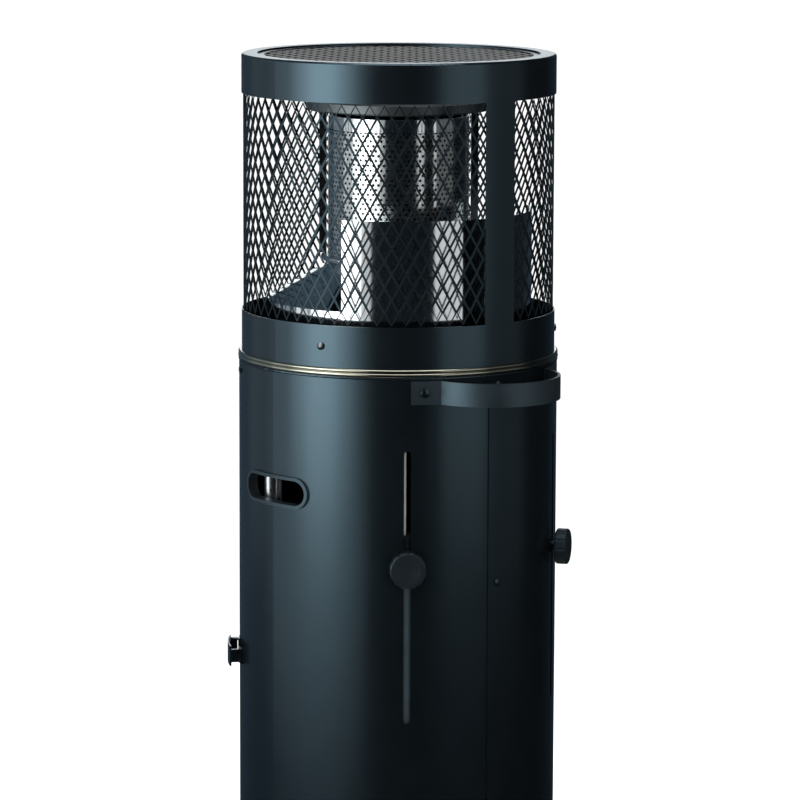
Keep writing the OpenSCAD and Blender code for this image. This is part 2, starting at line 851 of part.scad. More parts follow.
module valve_body() {
    color("#9c9a90") difference() {
        union() {
            translate([-valve_w / 2, -valve_front, valve_low])
                cube([valve_w, valve_front - valve_back, valve_high - valve_low]);
            translate([0, -valve_front, control_z]) rotate([90, 0, 0]) cylinder(r = 9, h = valve_nose);
        }
        translate([0, spindle_seat - valve_front, control_z]) rotate([90, 0, 0])
            cylinder(r = spindle_r + running, h = 2 * spindle_seat + valve_nose);
    }
}

module valve_bracket() {
    plate = 2.5;
    wing = 26;
    margin = 4;
    depth = valve_front - valve_back - 2 * margin;
    color("#8d8f8c") translate([0, margin - valve_front, 0]) {
        translate([-wing, 0, valve_high]) cube([2 * wing, depth, plate]);
        for (side = [0, 1]) mirror([side, 0, 0]) translate([valve_w / 2 + seat, 0, valve_low + margin])
            cube([plate, depth, valve_high - valve_low - margin]);
    }
}

module hose_inlet() {
    nut_h = 10;
    color("#b5954a") translate([0, inlet_y, valve_low]) mirror([0, 0, 1]) difference() {
        union() {
            cylinder(r = 12, h = nut_h, $fn = 6);
            cylinder(r = inlet_r, h = nut_h + inlet_h);
        }
        translate([0, 0, 2]) cylinder(r = 5, h = nut_h + inlet_h);
    }
}

pilot_place = 52;

module pilot_burner() {
    color("#b5954a") rotate([0, 0, -75]) translate([pilot_place, 0, emitter_z]) difference() {
        union() {
            cylinder(r = 5, h = 26);
            translate([-9, -20, 0]) cube([18, 40, 1.5]);
        }
        translate([0, 0, 8]) cylinder(r = 3.2, h = 20);
        for (side = [-1, 1]) translate([0, side * 13, -1]) cylinder(r = 3 + seat, h = 4);
    }
}

module spark_electrode() {
    color("white") rotate([0, 0, -75]) translate([pilot_place, -13, emitter_z]) {
        cylinder(r = 3, h = 24);
        cylinder(r = 1, h = 36);
    }
}

module thermocouple() {
    color("#b87333") rotate([0, 0, -75]) translate([pilot_place, 13, emitter_z]) {
        cylinder(r = 3, h = 18);
        cylinder(r = 2, h = 34);
    }
}

tilt_dir = -16;
tilt_place = housing_r - 23;
tilt_off = 8;
tilt_z = housing_top - 150;

module tilt_bracket() {
    strip_t = 1.5;
    strip_w = 14;
    color("#8d8f8c") rotate([0, 0, tilt_dir]) {
        translate([tilt_place - tilt_off - strip_t, -strip_w / 2, tilt_z])
            cube([strip_t, strip_w, housing_top - deck_t - tilt_z]);
        translate([tilt_place - tilt_off - strip_t, -strip_w / 2, housing_top - deck_t - strip_t])
            cube([2 * tilt_off, strip_w, strip_t]);
    }
}

module tilt_switch() {
    can_r = 7;
    can_h = 30;
    color("#d0d2d2") rotate([0, 0, tilt_dir]) difference() {
        union() {
            translate([tilt_place, 0, tilt_z]) cylinder(r = can_r, h = can_h);
            translate([tilt_place - tilt_off, -5, tilt_z + 6]) cube([tilt_off, 10, can_h - 12]);
        }
        translate([tilt_place, 0, tilt_z + can_h / 2]) rotate([0, 90, 90 + tilt_dir]) cylinder(r = 2, h = 20);
    }
}

door_gap_deg = arc_deg(door_gap);

module door_panel() {
    color("#1a1e21") arc_sheet(housing_r, sheet, hinge_dir + door_gap_deg, front + door_half - door_gap_deg,
        door_low + door_gap, door_high - door_low - 2 * door_gap);
}

ear_t = 2.5;
ear_r = 3.6;

module latch_base() {
    plate_half = 5;
    color("#101214") {
        arc_sheet(housing_r + seat + leaf_t, leaf_t, latch_dir - plate_half, latch_dir + plate_half,
            latch_z - latch_h / 2, latch_h);
        rotate([0, 0, latch_dir]) for (side = [-1, 1])
            translate([0, 0, latch_z + side * (latch_h / 2 - 2 - ear_t / 2) - ear_t / 2]) {
                translate([latch_place, 0, 0]) cylinder(r = ear_r, h = ear_t);
                translate([housing_r + 1, -ear_r, 0]) cube([latch_place - housing_r - 1, 2 * ear_r, ear_t]);
            }
        rotate([0, 0, latch_dir]) translate([latch_place, 0, latch_z - latch_h / 2 + 2])
            cylinder(r = pin_r, h = latch_h - 4);
    }
}

module latch_lever() {
    room = latch_h - 4 - 2 * ear_t - 2 * slide_gap;
    plate_t = 1.6;
    tip = latch_dir + lever_reach;
    lip_low = housing_r + seat + catch_t + slide_gap + 0.2;
    color("#101214") difference() {
        union() {
            rotate([0, 0, latch_dir]) translate([latch_place, 0, latch_z - room / 2]) {
                cylinder(r = ear_r, h = room);
                translate([0, -2, 0]) cube([latch_plate_r - latch_place - plate_t / 2, 4, room]);
            }
            arc_sheet(latch_plate_r, plate_t, latch_dir - 2, tip, latch_z - latch_h / 2 + 1, latch_h - 2);
            arc_sheet(latch_plate_r, latch_plate_r - lip_low, tip - 1.2, tip, latch_z - 7, 14);
        }
        rotate([0, 0, latch_dir]) translate([latch_place, 0, latch_z - latch_h])
            cylinder(r = pin_r + running, h = 2 * latch_h);
    }
}

// Round clamp knob with a scalloped edge and a dished face
module clamp_knob(dir) {
    scallops = 12;
    dish = 60;
    head = knob_foot + knob_stem;
    rotate([0, 0, dir]) translate([0, 0, clamp_z]) rotate([0, 90, 0]) {
        difference() {
            translate([0, 0, knob_foot]) cylinder(r = 7, h = knob_stem + 0.1);
            translate([0, 0, knob_foot - 1]) cylinder(r = stud_r, h = knob_stem + 2);
        }
        difference() {
            translate([0, 0, head]) rotate_extrude() union() {
                square([knob_r - 2, knob_h]);
                translate([0, 2]) square([knob_r, knob_h - 4]);
                for (z = [2, knob_h - 2]) translate([knob_r - 2, z]) circle(r = 2);
            }
            translate([0, 0, head - 1]) cylinder(r = stud_r, h = stud_grip + 1);
            translate([0, 0, head + knob_h + dish - 1.5]) sphere(r = dish);
            for (i = [0 : scallops - 1]) rotate(i * 360 / scallops) translate([knob_r + 2.2, 0, head - 1])
                cylinder(r = 3, h = knob_h + 2);
        }
    }
}

stud_grip = 8;

// The screwed stud that is held in a clamp knob
module clamp_stud(dir) {
    outwards(dir, stud_in, clamp_z) cylinder(r = stud_r, h = knob_foot + knob_stem + stud_grip - stud_in);
}

module clamp_stud_left() { color("silver") clamp_stud(slot_dirs[1]); }
module clamp_stud_right() { color("silver") clamp_stud(slot_dirs[0]); }
module clamp_knob_left() { color("#1d2023") clamp_knob(slot_dirs[1]); }
module clamp_knob_right() { color("#1d2023") clamp_knob(slot_dirs[0]); }

control_foot = housing_r + seat + dial_t + knob_gap;

module valve_spindle() {
    spindle_back = valve_front - spindle_seat + push_travel + 1;
    color("silver") translate([0, -spindle_back, control_z]) rotate([90, 0, 0])
        cylinder(r = spindle_r, h = control_foot + spindle_grip - spindle_back);
}

module control_knob() {
    grip = 9;
    color("#1d2023") translate([0, -control_foot, control_z]) rotate([90, 0, 0]) difference() {
        union() {
            rotate_extrude() union() {
                square([control_r, 5]);
                square([control_r - 3, 8]);
            }
            translate([-grip / 2, -control_r + 3, 0]) cube([grip, 2 * control_r - 6, control_h]);
        }
        translate([0, 0, -1]) cylinder(r = spindle_r + running, h = spindle_grip + 2);
    }
}

base_pan();
base_plate();
lower_shell();
base_screws();
slide_posts();
post_bushes();
clamp_bosses();
wheel_brackets();
axle();
axle_caps();
wheel_left();
wheel_right();
tyre_left();
tyre_right();
upper_shell();
lap_strip();
shell_screws();
handle();
handle_screws();
hand_hole_trims();
burner_deck();
collar_ring();
guide_rods();
shell_hinges();
hinge_pins();
catch_plate();
dial_plate();
cage_band();
cage_mesh();
cage_strap();
cage_cap();
top_grille();
cage_screws();
reflector_cone();
wind_guard();
emitter();
emitter_base();
hood_bracket();
hood();
burner_tube();
injector();
gas_pipe();
valve_body();
valve_bracket();
hose_inlet();
pilot_burner();
spark_electrode();
thermocouple();
tilt_bracket();
tilt_switch();
door_panel();
door_hinges();
latch_base();
latch_lever();
clamp_knob_left();
clamp_knob_right();
clamp_stud_left();
clamp_stud_right();
valve_spindle();
control_knob();
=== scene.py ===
# %% [markdown]
# # A gas patio heater
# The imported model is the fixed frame: every node is already in its place, in metres. This lesson
# dresses it. It starts with the camera, gives each finish its own material, swaps the cage, the emitter
# and the top grille for finer sheets, cuts a flat on the guide rods and ends with a small studio.

# %% Load the frame
import json
import math

import bpy
from mathutils import Matrix, Vector


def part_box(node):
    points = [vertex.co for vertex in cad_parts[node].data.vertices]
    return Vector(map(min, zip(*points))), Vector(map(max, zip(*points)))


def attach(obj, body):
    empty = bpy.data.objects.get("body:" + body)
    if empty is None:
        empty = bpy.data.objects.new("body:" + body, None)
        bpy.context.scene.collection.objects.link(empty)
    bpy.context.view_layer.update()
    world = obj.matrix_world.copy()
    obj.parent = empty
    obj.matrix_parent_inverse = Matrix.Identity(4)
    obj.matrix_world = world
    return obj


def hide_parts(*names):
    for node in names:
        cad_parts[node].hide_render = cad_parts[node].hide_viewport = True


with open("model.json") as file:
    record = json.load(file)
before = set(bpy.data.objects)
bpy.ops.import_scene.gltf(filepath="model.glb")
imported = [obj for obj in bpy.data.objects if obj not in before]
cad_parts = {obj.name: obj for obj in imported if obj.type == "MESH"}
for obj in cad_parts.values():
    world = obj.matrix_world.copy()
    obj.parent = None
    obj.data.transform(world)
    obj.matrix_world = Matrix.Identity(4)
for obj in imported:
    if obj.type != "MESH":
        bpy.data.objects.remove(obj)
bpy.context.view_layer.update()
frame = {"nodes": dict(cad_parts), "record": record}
nodes = frame["nodes"]
MM = 0.001
print("loaded", len(nodes), "nodes")

# %% [markdown]
# ## The camera
# The photograph was taken with a long lens from behind and a little above, with the rear of the
# column turned 40 degrees to the right. A long lens far away keeps the ellipses of the rims flat.
# The camera aims at a point near the column's axis and is rolled by a fifth of a degree.

# %% Where the camera stands
AZIMUTH = math.radians(140)
ELEVATION = math.radians(8.7)
DISTANCE = 4.5
AIM_HEIGHT = 755.6 * MM
AIM_ASIDE = 2.3 * MM

back = Vector((math.sin(AZIMUTH) * math.cos(ELEVATION), -math.cos(AZIMUTH) * math.cos(ELEVATION),
               math.sin(ELEVATION)))
aside = Vector((math.cos(AZIMUTH), math.sin(AZIMUTH), 0))
aim = Vector((0, 0, AIM_HEIGHT)) + aside * AIM_ASIDE
print("aims at", [round(x, 3) for x in aim])

# %% Camera
LENS_MM = 189
SENSOR_MM = 36
ROLL = math.radians(0.2)

camera = bpy.data.objects.new("camera", bpy.data.cameras.new("camera"))
bpy.context.scene.collection.objects.link(camera)
camera.data.lens = LENS_MM
camera.data.sensor_width = SENSOR_MM
camera.location = aim + back * DISTANCE
turn = (-back).to_track_quat("-Z", "Y").to_matrix().to_4x4()
camera.rotation_euler = (turn @ Matrix.Rotation(ROLL, 4, "Z")).to_euler()
bpy.context.scene.camera = camera
bpy.context.scene.view_settings.view_transform = "Standard"
print("camera at", [round(x, 3) for x in camera.location])

# %% [markdown]
# ## Finishes
# Every finish is a Principled shader whose colour and gloss are varied a little by noise on Object
# coordinates. Values that are the same all over sit on the shader's own sockets. A fine bump stands
# for the skin of a powder coat, the grain of rolled steel or the pores of moulded plastic.

# %% Noise on Object coordinates
def object_place(tree, stretch):
    """Object coordinates, stretched along an axis where a finish has a grain."""
    place = tree.nodes.new("ShaderNodeTexCoord")
    mapping = tree.nodes.new("ShaderNodeMapping")
    mapping.inputs["Scale"].default_value = stretch
    tree.links.new(place.outputs["Object"], mapping.inputs["Vector"])
    return mapping.outputs["Vector"]


def noise(tree, place, scale, detail):
    cloud = tree.nodes.new("ShaderNodeTexNoise")
    cloud.inputs["Scale"].default_value = scale
    cloud.inputs["Detail"].default_value = detail
    tree.links.new(place, cloud.inputs["Vector"])
    return cloud.outputs["Fac"]


# %% Colour, gloss and relief from noise
CLOUD_FROM = 0.3
CLOUD_TO = 0.7
LEAST_ROUGH = 0.02
RELIEF_DEPTH = 0.2 * MM


def vary_colour(tree, cloud, colour, vary, socket):
    shades = tree.nodes.new("ShaderNodeValToRGB")
    dark, light = shades.color_ramp.elements
    dark.position = CLOUD_FROM
    light.position = CLOUD_TO
    dark.color = (*[c * (1 - vary) for c in colour], 1)
    light.color = (*[min(1, c * (1 + vary)) for c in colour], 1)
    tree.links.new(cloud, shades.inputs["Fac"])
    tree.links.new(shades.outputs["Color"], socket)


def vary_gloss(tree, cloud, rough, rough_vary, socket):
    gloss = tree.nodes.new("ShaderNodeMapRange")
    gloss.inputs["To Min"].default_value = max(LEAST_ROUGH, rough - rough_vary)
    gloss.inputs["To Max"].default_value = rough + rough_vary
    tree.links.new(cloud, gloss.inputs["Value"])
    tree.links.new(gloss.outputs["Result"], socket)


def add_relief(tree, skin, bump, socket):
    relief = tree.nodes.new("ShaderNodeBump")
    relief.inputs["Strength"].default_value = bump
    relief.inputs["Distance"].default_value = RELIEF_DEPTH
    tree.links.new(skin, relief.inputs["Height"])
    tree.links.new(relief.outputs["Normal"], socket)


# %% A finish
def finish(name, colour, rough, metallic=0.0, vary=0.15, vary_scale=40.0, stretch=(1, 1, 1),
           rough_vary=0.06, bump_scale=900.0, bump=0.05, tint=(1, 1, 1), specular=0.5):
    material = bpy.data.materials.new(name)
    material.use_nodes = True
    tree = material.node_tree
    shader = tree.nodes["Principled BSDF"]
    shader.inputs["Metallic"].default_value = metallic
    shader.inputs["Specular IOR Level"].default_value = specular
    shader.inputs["Specular Tint"].default_value = (*tint, 1)
    where = object_place(tree, stretch)
    cloud = noise(tree, where, vary_scale, 4)
    vary_colour(tree, cloud, colour, vary, shader.inputs["Base Color"])
    vary_gloss(tree, cloud, rough, rough_vary, shader.inputs["Roughness"])
    add_relief(tree, noise(tree, where, bump_scale, 2), bump, shader.inputs["Normal"])
    return material


# %% [markdown]
# ## The finishes of this heater
# The column's satin powder coat is nearly black, and its highlights are cool, so its specular colour is
# tinted. The other paints differ from it in gloss; the slide posts' grey-blue is a painted reflection on
# their black paint. The sheets round the burner are bare metal, from the polished cone to the dull hood.

# %% Paint, plastic and rubber
COOL = (0.55, 0.84, 1.0)
finishes = {
    "black_paint": finish("satin_black_powder_coat", (0.002, 0.0026, 0.0032), 0.26, tint=COOL,
                          bump=0.008, rough_vary=0.015, specular=1.0),
    "net_paint": finish("net_powder_coat", (0.003, 0.004, 0.005), 0.42, tint=COOL, bump=0.02),
    "handle_paint": finish("handle_powder_coat", (0.008, 0.0095, 0.011), 0.42, tint=COOL, bump=0.02,
                           specular=1.0),
    # painted reflection: the slide posts are black paint, and this grey-blue copy paints the light seen
    # on them through the slot
    "painted_reflection_post": finish("grey_painted_reflection_on_post", (0.030, 0.046, 0.056), 0.4, bump=0.02),
    "black_plastic": finish("black_moulded_plastic", (0.006, 0.007, 0.008), 0.42, tint=COOL,
                            bump=0.2, bump_scale=1400),
    "tyre_rubber": finish("grey_black_rubber", (0.025, 0.025, 0.025), 0.7, bump=0.3, bump_scale=700),
    "ceramic_white": finish("glazed_ceramic", (0.82, 0.80, 0.75), 0.2, vary=0.04),
}
print(len(finishes), "finishes of paint, plastic and rubber")

# %% Metal
METAL = 1.0
finishes.update({
    "bare_steel": finish("bare_rolled_steel", (0.42, 0.41, 0.33), 0.2, METAL, vary=0.06, bump=0.02),
    "polished_steel": finish("polished_stainless", (0.78, 0.80, 0.81), 0.10, METAL, vary=0.05,
                             stretch=(1, 1, 0.2), rough_vary=0.03, bump=0.02),
    "screen_steel": finish("heat_tinted_screen", (0.80, 0.81, 0.80), 0.14, METAL, vary=0.05,
                           rough_vary=0.03),
    "dull_steel": finish("dull_sheet_steel", (0.20, 0.215, 0.22), 0.45, METAL, vary=0.08),
    "dark_steel": finish("blackened_steel", (0.12, 0.125, 0.13), 0.26, METAL),
    "dark_grille": finish("dark_grille_steel", (0.085, 0.080, 0.076), 0.5, bump=0.1),
    "zinc_steel": finish("zinc_plate", (0.58, 0.59, 0.60), 0.34, METAL, vary=0.1),
    "bright_zinc": finish("bright_zinc_rod", (0.62, 0.62, 0.57), 0.4, 0.2, vary=0.05),
    "brass": finish("turned_brass", (0.71, 0.55, 0.25), 0.26, METAL, stretch=(1, 1, 20)),
    "copper": finish("drawn_copper", (0.72, 0.38, 0.24), 0.3, METAL),
})
print(len(finishes), "finishes in all")

# %% Dress the nodes
# The slide posts get the grey-blue painted reflection in place of their black paint.
looks = {"hood": "dull_steel", "hood_bracket": "dark_steel", "cage_screws": "dark_steel",
         "slide_posts": "painted_reflection_post", "handle": "handle_paint", "hand_hole_trims": "handle_paint"}
for part in frame["record"]["subparts"]:
    coat = nodes[part["node"]].data.materials
    coat.clear()
    coat.append(finishes[looks.get(part["node"], part["material_slot"])])

# %% [markdown]
# ## Sheets full of holes
# Expanded metal and perforated sheet are one small cell, repeated. A ring of edges is extruded
# outwards to make a cell with its hole, two arrays repeat it, and the flat sheet is then rolled round
# the column by turning its width into an angle. Cells that touch are merged, so the sheet is one mesh.

# %% One cell with its hole
def select_only(piece):
    bpy.ops.object.select_all(action="DESELECT")
    piece.select_set(True)
    bpy.context.view_layer.objects.active = piece


def cell_ring(name, corners, hole, rim):
    """One cell: a hole of several corners whose edge is extruded out to the points of rim."""
    bpy.ops.object.select_all(action="DESELECT")
    bpy.ops.mesh.primitive_circle_add(vertices=corners, radius=1)
    cell = bpy.context.object
    cell.name = name
    bpy.ops.object.mode_set(mode="EDIT")
    bpy.ops.mesh.select_all(action="SELECT")
    bpy.ops.mesh.extrude_edges_move(TRANSFORM_OT_translate={"value": (0, 0, 0)})
    bpy.ops.object.mode_set(mode="OBJECT")
    points = cell.data.vertices
    for i in range(corners):
        points[i].co = hole(i)
        points[i + corners].co = rim(i)
    return cell


# %% Repeat a cell
WELD = 0.1 * MM


def join_copy(cell, step):
    """Adds a second cell at step, so that the pair can be repeated in rows."""
    select_only(cell)
    bpy.ops.object.mode_set(mode="EDIT")
    bpy.ops.mesh.select_all(action="SELECT")
    bpy.ops.mesh.duplicate_move(TRANSFORM_OT_translate={"value": step})
    bpy.ops.object.mode_set(mode="OBJECT")


def repeat(cell, columns, rows, across, up):
    """Two arrays that merge what touches."""
    select_only(cell)
    for count, step in ((columns, (across, 0, 0)), (rows, (0, up, 0))):
        array = cell.modifiers.new("array", "ARRAY")
        array.count = count
        array.use_relative_offset = False
        array.use_constant_offset = True
        array.constant_offset_displace = step
        array.use_merge_vertices = True
        array.merge_threshold = WELD
        bpy.ops.object.modifier_apply(modifier=array.name)


# %% Roll a sheet and give it a wall
SMOOTH_BELOW = math.radians(30)


def weld(sheet):
    """Merges the points that meet and turns all faces outwards."""
    select_only(sheet)
    bpy.ops.object.mode_set(mode="EDIT")
    bpy.ops.mesh.select_all(action="SELECT")
    bpy.ops.mesh.remove_doubles(threshold=WELD)
    bpy.ops.mesh.normals_make_consistent(inside=False)
    bpy.ops.object.mode_set(mode="OBJECT")


def roll(sheet, radius, low):
    """Turns a flat sheet's width into an angle round the column, and its height into z."""
    for point in sheet.data.vertices:
        angle = point.co.x / radius
        point.co = (radius * math.cos(angle), radius * math.sin(angle), low + point.co.y)
    weld(sheet)


def thicken(sheet, thickness):
    """Gives the sheet a wall on its inner side."""
    select_only(sheet)
    wall = sheet.modifiers.new("wall", "SOLIDIFY")
    wall.thickness = thickness
    wall.offset = -1
    bpy.ops.object.modifier_apply(modifier=wall.name)
    bpy.ops.object.shade_smooth_by_angle(angle=SMOOTH_BELOW)


# %% Put a piece on its body
def place(piece, body, slot, *replaced, look=None):
    piece.data.materials.clear()
    piece.data.materials.append(finishes[look or slot])
    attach(piece, body)
    if replaced:
        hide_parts(*replaced)
    print(piece.name, len(piece.data.polygons), "faces")


# %% [markdown]
# ## The cage
# The real cage is expanded metal: flat strands that part and meet again as upright diamonds. Sixty
# eight diamonds go round it. The cell is a diamond hole with half a strand round it, and its four
# sides lie on its neighbours' sides.

# %% Cage net
NET_DIAMONDS = 68
NET_ROWS = 9
FIRST_ROW = 0.75
STRAND = 2.1 * MM
NET_WALL = 1.0 * MM
NET_SINK = 0.6 * MM
net_low, net_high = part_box("cage_mesh")
net_r = net_high.x - NET_SINK
across = 2 * math.pi * net_r / NET_DIAMONDS
up = (net_high.z - net_low.z) / NET_ROWS


def diamond(wide, tall, strand=0.0):
    """Corners of a diamond, drawn in by half a strand's width on every side."""
    share = 1 - strand * math.hypot(wide, tall) / (wide * tall)
    return lambda i: ((-wide / 2, 0, wide / 2, 0)[i] * share, (0, -tall / 2, 0, tall / 2)[i] * share, 0)


net = cell_ring("cage_net", 4, diamond(across, up, STRAND), diamond(across, up))
join_copy(net, (across / 2, up / 2, 0))
repeat(net, NET_DIAMONDS, NET_ROWS - 1, across, up)
roll(net, net_r, net_low.z + up * FIRST_ROW)
thicken(net, NET_WALL)
place(net, "housing", "black_paint", "cage_mesh", look="net_paint")

# %% [markdown]
# ## The emitter
# The glowing screen of the burner is polished sheet with staggered round holes about 6 mm apart. Its
# cell is a hexagon with a round hole. A plain collar closes the top, and a black drum inside paints
# the shade seen through the holes, so that they read as holes.

# %% A hexagon with a round hole
HOLE_SIDES = 12


def on_ring(radius, sides, height=0.0):
    """Points of a ring, counted round it."""
    step = math.tau / sides
    return lambda i: (radius * math.cos(step * i), radius * math.sin(step * i), height)


def hexagon(pitch):
    """The points on a hexagon's sides that lie outside a round hole's corners."""
    def rim(i):
        turned = math.tau * i / HOLE_SIDES
        off = (turned + math.pi / 6) % (math.pi / 3) - math.pi / 6
        reach = pitch / 2 / math.cos(off)
        return (reach * math.cos(turned), reach * math.sin(turned), 0)
    return rim


# %% Emitter screen
EMITTER_COLUMNS = 80
EMITTER_HOLE = 3.0 * MM
SCREEN_WALL = 0.4 * MM
COLLAR_H = 12 * MM
emitter_low, emitter_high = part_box("emitter")
emitter_r = emitter_high.x
pitch = 2 * math.pi * emitter_r / EMITTER_COLUMNS
row_step = pitch * math.sqrt(3)
row_pairs = int((emitter_high.z - COLLAR_H - emitter_low.z - pitch / 2) / row_step)
screen = cell_ring("emitter_screen", HOLE_SIDES, on_ring(EMITTER_HOLE / 2, HOLE_SIDES), hexagon(pitch))
join_copy(screen, (pitch / 2, row_step / 2, 0))
repeat(screen, EMITTER_COLUMNS, row_pairs, pitch, row_step)
roll(screen, emitter_r, emitter_low.z + pitch / 2)
thicken(screen, SCREEN_WALL)
place(screen, "housing", "polished_steel", "emitter", look="screen_steel")

# %% A drum
ROUND_SIDES = 96


def drum(name, radius, low, high):
    """An open drum: a ring of edges extruded upwards."""
    bpy.ops.object.select_all(action="DESELECT")
    bpy.ops.mesh.primitive_circle_add(vertices=ROUND_SIDES, radius=radius, location=(0, 0, low))
    piece = bpy.context.object
    piece.name = name
    bpy.ops.object.transform_apply(location=True)
    bpy.ops.object.mode_set(mode="EDIT")
    bpy.ops.mesh.select_all(action="SELECT")
    bpy.ops.mesh.extrude_edges_move(TRANSFORM_OT_translate={"value": (0, 0, high - low)})
    bpy.ops.mesh.select_all(action="SELECT")
    bpy.ops.mesh.normals_make_consistent(inside=False)
    bpy.ops.object.mode_set(mode="OBJECT")
    return piece


# %% Emitter collar and painted-shade drum
COLLAR_WALL = 1 * MM
PAINTED_SHADE_WALL = 0.5 * MM
PAINTED_SHADE_GAP = 3 * MM
collar_low = emitter_low.z + row_pairs * row_step + pitch / 4
collar = drum("emitter_collar", emitter_r, collar_low, emitter_high.z)
thicken(collar, COLLAR_WALL)
place(collar, "housing", "polished_steel")
# A black drum behind the holes: painted shade inside the burner.
painted_shade_drum = drum("emitter_painted_shade_drum", emitter_r - PAINTED_SHADE_GAP, emitter_low.z, emitter_high.z)
thicken(painted_shade_drum, PAINTED_SHADE_WALL)
place(painted_shade_drum, "housing", "black_paint")

# %% [markdown]
# ## The top grille
# The cap is closed by the same kind of expanded metal, laid flat, with its diamonds pointing from front
# to back as the camera sees them. The sheet is cut finer, what reaches past the rim is deleted, and a
# plain border ring covers the cut.

# %% Lay the grille's cells
GRILLE_WIDE = 15 * MM
GRILLE_LONG = 26.5 * MM
GRILLE_STRAND = 3.2 * MM
grille_low, grille_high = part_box("top_grille")
grille_r = grille_high.x
grille = cell_ring("fine_top_grille", 4, diamond(GRILLE_WIDE, GRILLE_LONG, GRILLE_STRAND),
                   diamond(GRILLE_WIDE, GRILLE_LONG))
join_copy(grille, (GRILLE_WIDE / 2, GRILLE_LONG / 2, 0))
columns = int(2 * grille_r / GRILLE_WIDE) + 1
rows = int(2 * grille_r / GRILLE_LONG) + 1
repeat(grille, columns, rows, GRILLE_WIDE, GRILLE_LONG)
middle = Vector(((columns - 0.5) * GRILLE_WIDE / 2, (rows - 0.5) * GRILLE_LONG / 2, 0))
facing = Matrix.Rotation(AZIMUTH, 3, "Z")
for point in grille.data.vertices:
    point.co = facing @ (point.co - middle) + Vector((0, 0, grille_high.z))
print(columns, "by", rows, "pairs of diamonds")

# %% Trim the grille to its rim
CUTS = 3
BORDER = 7 * MM
GRILLE_WALL = 0.5 * MM
select_only(grille)
bpy.ops.object.mode_set(mode="EDIT")
bpy.ops.mesh.select_all(action="SELECT")
bpy.ops.mesh.subdivide(number_cuts=CUTS)
bpy.ops.mesh.select_mode(type="FACE")
bpy.ops.mesh.select_all(action="DESELECT")
bpy.ops.object.mode_set(mode="OBJECT")
for face in grille.data.polygons:
    face.select = face.center.to_2d().length > grille_r - BORDER / 2
bpy.ops.object.mode_set(mode="EDIT")
bpy.ops.mesh.delete(type="FACE")
bpy.ops.mesh.select_mode(type="VERT")
bpy.ops.object.mode_set(mode="OBJECT")
weld(grille)
thicken(grille, GRILLE_WALL)
place(grille, "housing", "black_paint", "top_grille", look="dark_grille")

# %% Grille border
BORDER_WALL = 1 * MM
border = cell_ring("grille_border", ROUND_SIDES, on_ring(grille_r - BORDER, ROUND_SIDES, grille_high.z),
                   on_ring(grille_r, ROUND_SIDES, grille_high.z))
thicken(border, BORDER_WALL)
place(border, "housing", "black_paint")

# %% [markdown]
# ## The guide rods
# A bright rod hangs behind each slot and runs in its post. Through the slot only the side away from the
# seam is bright, so each rod is milled flat: a plane cuts the cylinder along its length and the cut is
# filled. A thinner neck passes through the deck, and a six-sided nut holds the rod from above.

# %% Where the rods hang
NUT_H = 5 * MM
DECK_T = 1.5 * MM
rods_low, rods_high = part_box("guide_rods")
rod_r = (rods_high.y - rods_low.y) / 2
rod_x = rods_high.x - rod_r
rod_y = rods_high.y - rod_r
nut_low = rods_high.z - NUT_H
neck_low = nut_low - DECK_T
print("rods of", round(rod_r / MM, 2), "mm radius at", round(rod_x, 4), round(rod_y, 4))


# %% Guide rods
ROD_SIDES = 32
NECK_SIDES = 24
NUT_SIDES = 6
NECK_R = 3 * MM
FLAT_AT = 0.7 * MM


def bar(sides, radius, x, low, high):
    """An upright bar, with its place in its mesh."""
    bpy.ops.object.select_all(action="DESELECT")
    bpy.ops.mesh.primitive_cylinder_add(vertices=sides, radius=radius, depth=high - low,
                                        location=(x, rod_y, (low + high) / 2))
    bpy.ops.object.transform_apply(location=True)
    return bpy.context.object


bars = []
for side in (1, -1):
    rod = bar(ROD_SIDES, rod_r, side * rod_x, rods_low.z, neck_low)
    towards_seam = Vector((-side * rod_y, rod_x, 0)).normalized()
    bpy.ops.object.mode_set(mode="EDIT")
    bpy.ops.mesh.select_all(action="SELECT")
    bpy.ops.mesh.bisect(plane_co=Vector((side * rod_x, rod_y, 0)) - towards_seam * FLAT_AT,
                        plane_no=towards_seam, use_fill=True, clear_outer=True)
    bpy.ops.object.mode_set(mode="OBJECT")
    neck = bar(NECK_SIDES, NECK_R, side * rod_x, neck_low, nut_low)
    nut = bar(NUT_SIDES, rod_r, side * rod_x, nut_low, rods_high.z)
    bars += [rod, neck, nut]

# %% Join the rods
for piece in bars:
    piece.select_set(True)
bpy.context.view_layer.objects.active = bars[0]
bpy.ops.object.join()
rods = bpy.context.object
rods.name = "flat_guide_rods"
bpy.ops.object.shade_smooth_by_angle(angle=SMOOTH_BELOW)
place(rods, "housing", "zinc_steel", "guide_rods", look="bright_zinc")

# %% [markdown]
# ## The studio's ground
# The photograph has a white ground. A pale floor that glows a little stands for lit paper and still shows
# the shadow. The world is white where the camera, a mirror or glass looks at it, and dimmer as a light.

# %% Floor
FLOOR_R = 40
FLOOR_GLOW = 0.76
bpy.ops.object.select_all(action="DESELECT")
bpy.ops.mesh.primitive_circle_add(vertices=ROUND_SIDES, radius=FLOOR_R, fill_type="NGON")
floor = bpy.context.object
floor.name = "floor"
pale = bpy.data.materials.new("pale_floor")
pale.use_nodes = True
paper = pale.node_tree.nodes["Principled BSDF"]
paper.inputs["Base Color"].default_value = (0.86, 0.86, 0.86, 1)
paper.inputs["Roughness"].default_value = 0.9
paper.inputs["Emission Color"].default_value = (1, 1, 1, 1)
paper.inputs["Emission Strength"].default_value = FLOOR_GLOW
floor.data.materials.append(pale)
print("floor of", FLOOR_R, "m radius")

